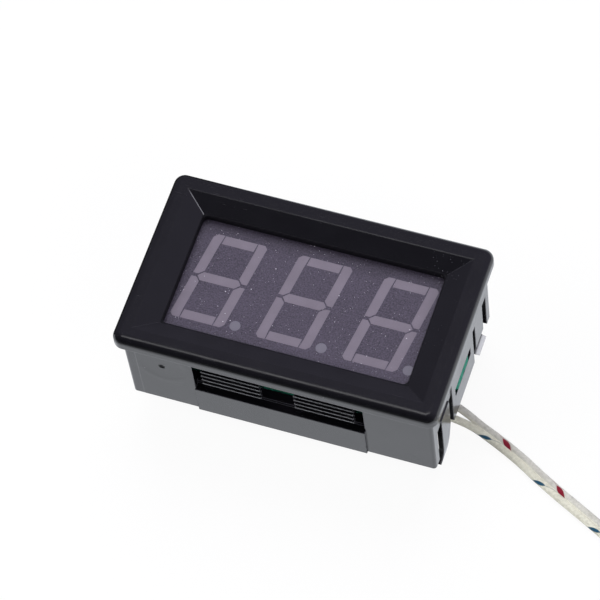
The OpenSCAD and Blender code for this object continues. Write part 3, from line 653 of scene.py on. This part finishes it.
# a nylon tie round the coil: toothed strap, ratchet head and cut tail

tieSpec = dict(angle=25.0, strapWidth=2.5, strapThick=0.42, corner=0.9, sides=48, slack=0.28,
               head=(3.3, 3.9, 2.5), headX=0.6, headEase=0.35, tail=4.6, tailLean=-24, teeth=12)

def squared(part, stretch, half, corner):  # from a circle's coordinate to a rounded band's
    flat = math.copysign(min(abs(part) * stretch, 1.0) ** 0.8, part)
    return flat * (half - corner) + part * corner

def makeTie(spec, lead):
    turn = Matrix.Rotation(math.radians(spec["angle"]), 4, "Z")
    wide, thick, tail, middle = spec["strapWidth"], spec["strapThick"], spec["tail"], spec["headX"]
    halfWide = 1.5 * lead["width"] + spec["slack"]
    top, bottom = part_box("lead_tie")[1][2] / mm - 0.2, 0.24
    halfTall = (top - bottom) / 2
    mesh = bmesh.new()
    ring = bmesh.ops.create_circle(mesh, segments=spec["sides"], radius=1.0)["verts"]
    for vert in ring:
        angle = math.atan2(vert.co.y, vert.co.x)
        x = squared(math.cos(angle), 2.4, halfWide, spec["corner"])
        z = squared(math.sin(angle), 1.6, halfTall, spec["corner"])
        vert.co = (x, -wide / 2, z + (top + bottom) / 2)
    made = bmesh.ops.extrude_edge_only(mesh, edges=list(mesh.edges))["geom"]
    moved = [item for item in made if isinstance(item, bmesh.types.BMVert)]
    bmesh.ops.translate(mesh, vec=(0, wide, 0), verts=moved)
    bmesh.ops.recalc_face_normals(mesh, faces=mesh.faces)
    bmesh.ops.solidify(mesh, geom=list(mesh.faces), thickness=thick * 0.5)

    headX, headY, headZ = spec["head"]
    headTop = top + headZ * 0.62
    head = addBlock(mesh, (middle, 0, headTop - headZ / 2 + 0.1), (headX, headY, headZ))
    headEdges = list(dict.fromkeys(edge for vert in head for edge in vert.link_edges))
    easeEdges(mesh, spec["headEase"], 3, headEdges)
    addBlock(mesh, (middle, 0, headTop + 0.05), (headX * 0.42, wide + 0.2, 0.28))
    lean = Matrix.Rotation(math.radians(spec["tailLean"]), 4, "Y")
    tailX, tailZ = middle + tail * 0.42, headTop + tail * 0.19
    addBlock(mesh, (tailX, 0, tailZ + 0.25), (tail, wide, thick), lean)
    for k in range(spec["teeth"]):
        along = tail * (k / (spec["teeth"] - 1) - 0.5) * 0.86
        addBlock(mesh, (tailX + along * 0.91, 0, tailZ + 0.43 + along * 0.41), (0.16, wide * 0.6, 0.16), lean)

    bmesh.ops.translate(mesh, vec=(lead["coilRadius"], 0, 0), verts=mesh.verts)
    bmesh.ops.transform(mesh, matrix=turn, verts=mesh.verts)
    bmesh.ops.translate(mesh, vec=(*lead["coilCentre"], 0), verts=mesh.verts)
    bmesh.ops.scale(mesh, vec=(mm, mm, mm), verts=mesh.verts)
    tie = addPiece("coil_tie", mesh)
    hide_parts("lead_tie")
    return tie

tie = makeTie(tieSpec, leadSpec)
print("tie closed")

def makeLead(spec):
    line = smoothPath(leadRun + coilPoints(spec) + leadTail, spec["step"])
    cores = [sweepCore("lead_core_a", line, 1, spec), sweepCore("lead_core_b", line, -1, spec)]
    bpy.ops.object.select_all(action="DESELECT")
    for core in cores:
        core.select_set(True)
    bpy.context.view_layer.objects.active = cores[0]
    bpy.ops.object.join()
    lead = bpy.context.view_layer.objects.active
    lead.name = "lead"
    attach(lead, "root")
    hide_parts("lead_run", "lead_coil", "lead_tail")
    return lead

lead = makeLead(leadSpec)
print("lead laid")


# each core is wrapped in pale glass fibre, with one coloured thread wound into it

braidSpec = dict(
    # seam is a painted highlight along the crease where the two cores meet
    seam=(0.92, 0.90, 0.80), roughness=0.55,
    threads=16, pitch=2.6, tracerPitch=10.6, tracerShare=0.21,
    # the second core is set brighter and the first darker than their own tones, as painted light for how the
    # lamps fall on them; the second's creamier tint is its own
    first=dict(light=(0.75, 0.74, 0.68), dark=(0.45, 0.44, 0.39), tint=(0.24, 0.004, 0.022),
               width=0.13, start=0.251, turn=0.049, hand=-1.0),
    second=dict(light=(0.85, 0.84, 0.71), dark=(0.55, 0.54, 0.44), tint=(0.006, 0.07, 0.13),
                width=0.09, start=0.553, turn=0.573, hand=1.0),
)

def braidMaterial(spec):
    material, tree, shader = newMaterial("glass fibre braid")
    along = node(tree, "UVMap", uv_map="along").outputs[0]
    u, v, w = parts(tree, along)
    second = maths(tree, "GREATER_THAN", v, 1.5)
    lay = []
    for way in (1, -1):
        turns = maths(tree, "MULTIPLY", v, float(spec["threads"]))
        wound = maths(tree, "MULTIPLY_ADD", u, way * spec["threads"] / spec["pitch"] / 2, turns)
        lay.append(maths(tree, "SINE", maths(tree, "MULTIPLY", wound, 2 * math.pi)))
    threads = maths(tree, "MAXIMUM", lay[0], lay[1])
    fuzz = noiseFrom(tree, objectPlace(tree), 2600.0, 3.0, 0.6)
    blot = noiseFrom(tree, objectPlace(tree), 420.0, 2.0)
    tone = maths(tree, "MULTIPLY_ADD", threads, 0.12, maths(tree, "MULTIPLY_ADD", fuzz, 0.7, 0.0))
    tone = maths(tree, "MULTIPLY_ADD", blot, 0.5, tone)
    tone = between(tree, tone, 0.3, 0.95)
    colour = blendColours(tree, second, *[blendColours(tree, tone, core["dark"], core["light"])
                                          for core in (spec["first"], spec["second"])])
    creaseHighlight = maths(tree, "COSINE", maths(tree, "MULTIPLY", v, 2 * math.pi))  # 1 where a core meets the other
    creaseHighlight = maths(tree, "MULTIPLY", creaseHighlight, maths(tree, "MULTIPLY_ADD", second, 2.0, -1.0))
    creaseHighlight = maths(tree, "MULTIPLY", between(tree, creaseHighlight, 0.45, 0.95), 0.7)
    # painted highlight: the crease between the cores is lightened
    colour = blendColours(tree, creaseHighlight, colour, spec["seam"])
    phase = maths(tree, "MULTIPLY", u, 1 / spec["tracerPitch"])
    for chosen, tracer in ((maths(tree, "SUBTRACT", 1.0, second), spec["first"]), (second, spec["second"])):
        helix = maths(tree, "ADD", v, 10.0 + tracer["turn"])  # the 10 keeps it above zero
        helix = maths(tree, "FRACT", maths(tree, "MULTIPLY_ADD", phase, tracer["hand"], helix))
        near = maths(tree, "ABSOLUTE", maths(tree, "SUBTRACT", helix, 0.5))
        cycle = maths(tree, "FRACT", maths(tree, "ADD", phase, tracer["start"]))
        middle = maths(tree, "MULTIPLY_ADD", cycle, 2 / spec["tracerShare"], -1.0)
        lens = maths(tree, "MULTIPLY_ADD", near, 1 / tracer["width"], maths(tree, "MULTIPLY", middle, middle))
        faint = maths(tree, "MULTIPLY", between(tree, near, 0.03, 0.01), 0.35)
        mark = maths(tree, "MAXIMUM", between(tree, lens, 1.15, 0.75), faint)
        colour = blendColours(tree, maths(tree, "MULTIPLY", mark, chosen), colour, tracer["tint"])
    tree.links.new(colour, shader.inputs["Base Color"])
    tree.links.new(ramp(tree, fuzz, steady(spec["roughness"], 0.15)), shader.inputs["Roughness"])
    relief(tree, shader, heights(tree, (threads, 1.6e-5), (fuzz, 1.2e-5)))
    return material

lead.data.materials.clear()
lead.data.materials.append(braidMaterial(braidSpec))


# finishes of the parts

chipPlastic = mouldedMaterial("chip moulding", (0.018, 0.018, 0.020), 0.5, fleck=(0.08, 0.08, 0.085))
tinned = metalFinish("tinned metal", (0.78, 0.78, 0.77), 0.28)
solder = metalFinish("solder", (0.70, 0.71, 0.73), 0.22, dull=0.4)
finishes = dict(
    housing=housingMaterial(housingSpec),
    display_shell=displayFaceMaterial(displaySpec), display_potting=segmentMaterial(displaySpec),
    display_substrate=laminateMaterial(laminateSpec), main_board=maskMaterial(maskSpec),
    display_pins=tinned, pin_joints=solder, lead_joints=solder,
    controller_chip=chipPlastic, amplifier_chip=chipPlastic, regulator=chipPlastic,
    input_diode=chipPlastic, chip_resistors=chipPlastic,
    capacitor_base=mouldedMaterial("capacitor base", (0.014, 0.014, 0.015), 0.42),
    controller_leads=tinned, amplifier_leads=tinned, regulator_leads=tinned, diode_terminals=tinned,
    capacitor_can=canMaterial(canSpec),
    chip_capacitors=mouldedMaterial("capacitor ceramic", (0.40, 0.26, 0.13), 0.34, spread=0.16),
    power_socket=mouldedMaterial("natural nylon", (0.72, 0.69, 0.58), 0.38, spread=0.05,
                                 fleck=(0.4, 0.37, 0.3)),
    power_pins=metalFinish("pin brass", (0.80, 0.66, 0.34), 0.26),
    lead_conductors=metalFinish("stranded copper", (0.80, 0.50, 0.33), 0.34, grain=5200.0),
    probe_sheath=metalFinish("probe steel", (0.66, 0.67, 0.69), 0.22, (1, 1, 0.3), (0, 0, 54),
                             grain=2600.0, dull=0.18),
    probe_sleeve=mouldedMaterial("heat-shrink sleeve", (0.013, 0.013, 0.014), 0.44, 1500.0, 9e-6,
                                 fleck=(0.10, 0.10, 0.10)),
)
for name, material in finishes.items():
    dress(name, material)
print("parts finished")


# small work on the board's back

chipEndSpec = dict(share=0.22, proud=0.02, ease=0.03)

def makeChipEnds(name, source, spec):  # tinned caps on both ends of each part
    proud = spec["proud"] * mm
    mesh = bmesh.new()
    for low, high in solidBoxes(source):
        size = high - low
        axis = 0 if size.x > size.y else 1
        for way in (-1, 1):
            extent = size + Vector((2, 2, 1)) * proud
            extent[axis] = size[axis] * spec["share"]
            centre = (low + high) / 2 - Vector((0, 0, proud / 2))
            centre[axis] += way * (size[axis] / 2 + proud - extent[axis] / 2)
            addBlock(mesh, centre, extent)
    easeEdges(mesh, spec["ease"] * mm)
    piece = addPiece(name, mesh)
    piece.data.materials.append(tinned)
    return piece

traceSpec = dict(width=0.26, power=0.8, thick=0.025, out=0.5, outline=0.14, outlineGap=0.4)

def addStrip(mesh, start, end, width, thick, ground):
    run = Vector(end) - Vector(start)
    turn = Matrix.Rotation(math.atan2(run.y, run.x), 4, "Z")
    middle = (Vector(start) + Vector(end)) / 2
    addBlock(mesh, (middle.x, middle.y, ground - thick / 2), (run.length + width * 0.8, width, thick), turn)

def makeTraces(spec):  # copper tracks under the green mask, from the controller's leads to the pins
    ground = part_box("main_board")[0][2] + 0.002 * mm
    thick, width = spec["thick"] * mm, spec["width"] * mm
    mesh = bmesh.new()
    for way in (-1, 1):
        pins = [(a + b) / 2 for a, b in solidBoxes("pin_joints") if (a + b).y * way > 0]
        leads = [(a + b) / 2 for a, b in solidBoxes("controller_leads") if (a + b).y * way > 0]
        spare = (len(leads) - len(pins)) // 2
        for pin, foot in zip(pins, leads[spare:]):
            first = Vector((foot.x, foot.y + way * spec["out"] * mm, 0))
            second = Vector((pin.x, pin.y - way * 3 * spec["out"] * mm, 0))
            for start, end in ((foot, first), (first, second), (second, pin)):
                addStrip(mesh, (start.x, start.y, 0), (end.x, end.y, 0), width, thick, ground)
    stops = [sum((Vector(v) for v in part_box(name)), Vector()) / 2
             for name in ("power_socket", "input_diode", "regulator", "capacitor_can")]
    for a, b in ((0, 1), (1, 2), (0, 3)):
        bend = Vector((stops[b].x, stops[a].y, 0))
        for start, end in ((stops[a], bend), (bend, stops[b])):
            if (Vector((start.x, start.y, 0)) - Vector((end.x, end.y, 0))).length > width:
                addStrip(mesh, (start.x, start.y, 0), (end.x, end.y, 0), spec["power"] * mm, thick, ground)
    piece = addPiece("board_tracks", mesh)
    piece.data.materials.append(mouldedMaterial("track under mask", (0.012, 0.26, 0.12), 0.24, spread=0.1))
    return piece

def makeOutlines(spec):  # plain printed frames round the larger parts
    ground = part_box("main_board")[0][2] + 0.002 * mm
    gap, width = spec["outlineGap"] * mm, spec["outline"] * mm
    mesh = bmesh.new()
    for names in (("controller_chip", "controller_leads"), ("amplifier_chip", "amplifier_leads"),
                  ("regulator", "regulator_leads"), ("input_diode", "diode_terminals"),
                  ("capacitor_base",), ("power_socket",)):
        boxes = [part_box(name) for name in names]
        x0, y0 = (min(box[0][i] for box in boxes) - gap for i in (0, 1))
        x1, y1 = (max(box[1][i] for box in boxes) + gap for i in (0, 1))
        corners = [(x0, y0, 0), (x1, y0, 0), (x1, y1, 0), (x0, y1, 0)]
        for i in range(4):
            addStrip(mesh, corners[i], corners[(i + 1) % 4], width, spec["thick"] * mm * 1.3, ground)
    piece = addPiece("board_outlines", mesh)
    piece.data.materials.append(mouldedMaterial("white board ink", (0.78, 0.80, 0.76), 0.5, spread=0.06))
    return piece

makeChipEnds("resistor_ends", "chip_resistors", chipEndSpec)
makeChipEnds("capacitor_ends", "chip_capacitors", chipEndSpec)
makeTraces(traceSpec)
makeOutlines(traceSpec)
tie.data.materials.append(mouldedMaterial("tie nylon", (0.80, 0.80, 0.78), 0.36, spread=0.03))
print("board finished")


# floor and lights

stageSpec = dict(floorSize=3.0, floorTone=0.9, plain=0.93, near=28, far=72, farShare=0.1,
                 mirrored=(0.91, 0.94, 1.0), under=(22.3, 14.3), card=(-24.5, -10.0), shade=0.95)
roomSpec = dict(tint=(0.80, 0.76, 1.0),
                ahead=[(0.0, 0.05), (0.24, 0.10), (0.55, 0.23), (0.72, 0.31), (1.0, 0.26)],
                sideways=[(0.05, 0.66), (0.4, 1.0), (0.77, 1.12), (0.9, 1.12)])

def makeStage(spec):
    mesh = bmesh.new()
    bmesh.ops.create_grid(mesh, x_segments=1, y_segments=1, size=spec["floorSize"] / 2)
    bmesh.ops.translate(mesh, verts=mesh.verts, vec=(0, 0, -0.00005))
    data = bpy.data.meshes.new("floor")
    mesh.to_mesh(data)
    mesh.free()
    floor = bpy.data.objects.new("floor", data)
    bpy.context.scene.collection.objects.link(floor)
    material, tree, shader = newMaterial("floor")
    shader.inputs["Base Color"].default_value = (*grey(spec["floorTone"]), 1)
    shader.inputs["Roughness"].default_value = 0.9
    shader.inputs["Specular IOR Level"].default_value = 0.0
    paths = node(tree, "LightPath")
    seen = maths(tree, "MAXIMUM", paths.outputs["Is Glossy Ray"], paths.outputs["Is Transmission Ray"])
    white = node(tree, "Emission", Strength=1.0)
    tree.links.new(blendColours(tree, seen, (1.0, 1.0, 1.0), spec["mirrored"]), white.inputs["Color"])
    mixed = node(tree, "MixShader")
    x, y, z = parts(tree, objectPlace(tree))
    fading = ramp(tree, between(tree, y, -spec["near"] * mm, -spec["far"] * mm),
                  [(0.0, grey(1.0)), (1.0, grey(spec["farShare"]))])
    # in reflections the floor is dark under the body, and past the paper's end at the back left
    shaded = product(tree, *[between(tree, maths(tree, "ABSOLUTE", v), half * mm, (half - 0.4) * mm)
                             for v, half in zip((x, y), spec["under"])])
    cardX, cardY = (v * mm for v in spec["card"])
    card = product(tree, between(tree, x, cardX, cardX - 2 * mm), between(tree, y, cardY, cardY + 4 * mm))
    shaded = maths(tree, "MAXIMUM", shaded, card)
    lit = product(tree, fading, maths(tree, "MULTIPLY_ADD", shaded, -spec["shade"], 1.0))
    lit = maths(tree, "MULTIPLY_ADD", seen, maths(tree, "SUBTRACT", lit, 1.0), 1.0)
    tree.links.new(lit, white.inputs["Strength"])
    share = maths(tree, "MULTIPLY", paths.outputs["Is Camera Ray"], spec["plain"])
    share = maths(tree, "MAXIMUM", share, seen)
    tree.links.new(share, mixed.inputs[0])
    tree.links.new(shader.outputs[0], mixed.inputs[1])
    tree.links.new(white.outputs[0], mixed.inputs[2])
    tree.links.new(mixed.outputs[0], tree.nodes["Material Output"].inputs[0])
    data.materials.append(material)

def makeRoom(spec):  # a room that is darker at the front than at the back
    world = bpy.data.worlds.new("world")
    bpy.context.scene.world = world
    world.use_nodes = True
    tree = world.node_tree
    background = tree.nodes["Background"]
    x, y, z = parts(tree, node(tree, "TexCoord").outputs["Generated"])
    factors = []
    for value, stops in ((y, spec["ahead"]), (x, spec["sideways"])):
        factors.append(ramp(tree, maths(tree, "MULTIPLY_ADD", value, 0.5, 0.5),
                            [(at, grey(level)) for at, level in stops]))
    tree.links.new(maths(tree, "MULTIPLY", factors[0], factors[1]), background.inputs["Strength"])
    background.inputs["Color"].default_value = (*spec["tint"], 1)

lampSpecs = dict(
    back=dict(place=(-0.15, 0.6, 0.9), aim=(0, 0, 0), size=(0.8, 0.8), power=8.5, glossy=False),
    strip=dict(place=(-0.15, 0.03, 0.95), aim=(-0.1, 0, 0), size=(0.7, 0.13), power=0.45, glossy=True),
    left=dict(place=(-0.75, -0.35, 0.6), aim=(0, 0, 0), size=(0.8, 0.8), power=6.4, glossy=False),
    right=dict(place=(0.7, -0.5, 0.5), aim=(0, 0, 0), size=(0.8, 0.8), power=4.6, glossy=False),
)

def makeLamp(name, spec):
    data = bpy.data.lights.new(name, "AREA")
    data.shape = "RECTANGLE"
    data.size, data.size_y = spec["size"]
    data.energy = spec["power"]
    lamp = bpy.data.objects.new(name, data)
    bpy.context.scene.collection.objects.link(lamp)
    lamp.visible_glossy = spec["glossy"]
    lamp.location = spec["place"]
    lamp.rotation_euler = (Vector(spec["aim"]) - Vector(spec["place"])).to_track_quat("-Z", "Y").to_euler()

makeStage(stageSpec)
makeRoom(roomSpec)
for name, spec in lampSpecs.items():
    makeLamp(name, spec)
bpy.context.scene.view_settings.view_transform = "Standard"
print("stage lit")
